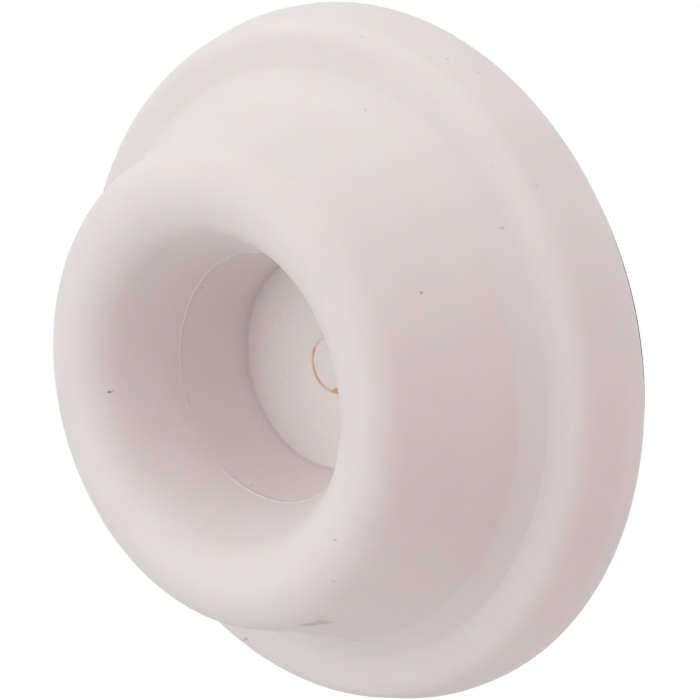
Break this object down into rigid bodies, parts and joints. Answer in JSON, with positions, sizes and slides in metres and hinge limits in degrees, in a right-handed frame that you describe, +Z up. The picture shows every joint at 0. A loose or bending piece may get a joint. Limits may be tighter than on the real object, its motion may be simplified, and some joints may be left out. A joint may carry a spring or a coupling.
{
  "type": "adhesive wall bumper",
  "caption": "Round moulded rubber wall bumper with a deep cup in its face, on a disc of adhesive foam, for stopping a door or drawer handle.",
  "frame": {"origin": "centre of the adhesive face that sticks to the wall", "axes": "+Z up, +Y into the wall along the bumper's own axis, the cup opens towards -Y"},
  "size_m": [0.0636, 0.0227, 0.0636],
  "materials": {
    "white_rubber": "satin off-white moulded rubber with a slight pink cast",
    "foam_tape": "matt black closed-cell foam tape"
  },
  "bodies": {
    "root": {"bumper_body": "white_rubber", "adhesive_pad": "foam_tape"}
  },
  "joints": []
}
